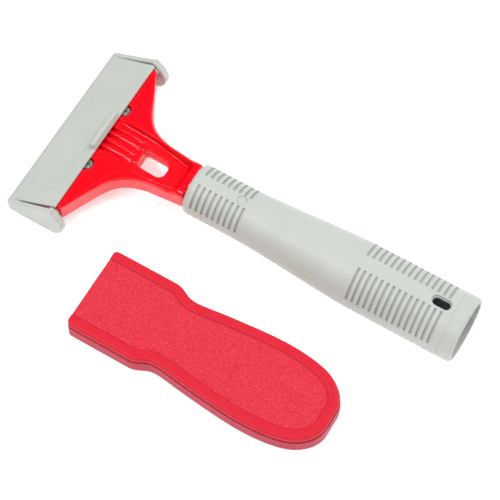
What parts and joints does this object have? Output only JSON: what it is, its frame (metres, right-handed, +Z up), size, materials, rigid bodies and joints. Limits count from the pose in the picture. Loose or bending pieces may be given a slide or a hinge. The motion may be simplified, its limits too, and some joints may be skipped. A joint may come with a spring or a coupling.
{
  "type": "algae scraper",
  "caption": "Hand scraper with a wide guarded blade on a hollow grip handle, and a flat pocket scraper with a slide-out razor blade beside it.",
  "frame": {"origin": "middle of the whole set's bounding box, on the surface that it lies on", "axes": "+X along the handle from the blade to the open end, +Z up, +Y across the blade, away from the pocket scraper"},
  "size_m": [0.2476, 0.1542, 0.0366],
  "materials": {
    "grey_plastic": "moulded, fine satin",
    "red_gloss_plastic": "moulded, polished",
    "red_satin_plastic": "moulded, spark-eroded grain",
    "dark_plastic": "moulded, satin",
    "blade_steel": "ground",
    "zinc_steel": "zinc plated"
  },
  "bodies": {
    "scraper": {"handle_grip": "grey_plastic", "tang_lock_pin": "grey_plastic", "scraper_head": "red_gloss_plastic", "scraper_blade": "blade_steel", "blade_clamp_plate": "zinc_steel", "clamp_screw_near": "zinc_steel", "clamp_screw_far": "zinc_steel", "clamp_washer_near": "zinc_steel", "clamp_washer_far": "zinc_steel", "clamp_nut_near": "zinc_steel", "clamp_nut_far": "zinc_steel"},
    "guard": {"blade_guard": "grey_plastic"},
    "pocket_scraper": {"pocket_upper_shell": "red_satin_plastic", "pocket_lower_shell": "red_satin_plastic", "pocket_shell_screw_front": "zinc_steel", "pocket_shell_screw_rear": "zinc_steel"},
    "razor_carrier": {"pocket_blade_carrier": "dark_plastic", "pocket_razor_blade": "blade_steel", "pocket_razor_spine": "zinc_steel", "pocket_thumb_slider": "dark_plastic", "pocket_detent_spring": "blade_steel"}
  },
  "joints": [
    {"name": "guard_slide", "type": "slide", "parent": "scraper", "child": "guard", "axis": [-0.866, 0, -0.5], "range_m": [0, 0.04]},
    {"name": "pocket_lift", "type": "slide", "parent": "scraper", "child": "pocket_scraper", "axis": [0, 0, 1], "range_m": [0, 0.06]},
    {"name": "razor_slide", "type": "slide", "parent": "pocket_scraper", "child": "razor_carrier", "axis": [-1, 0, 0], "range_m": [0, 0.014]}
  ]
}
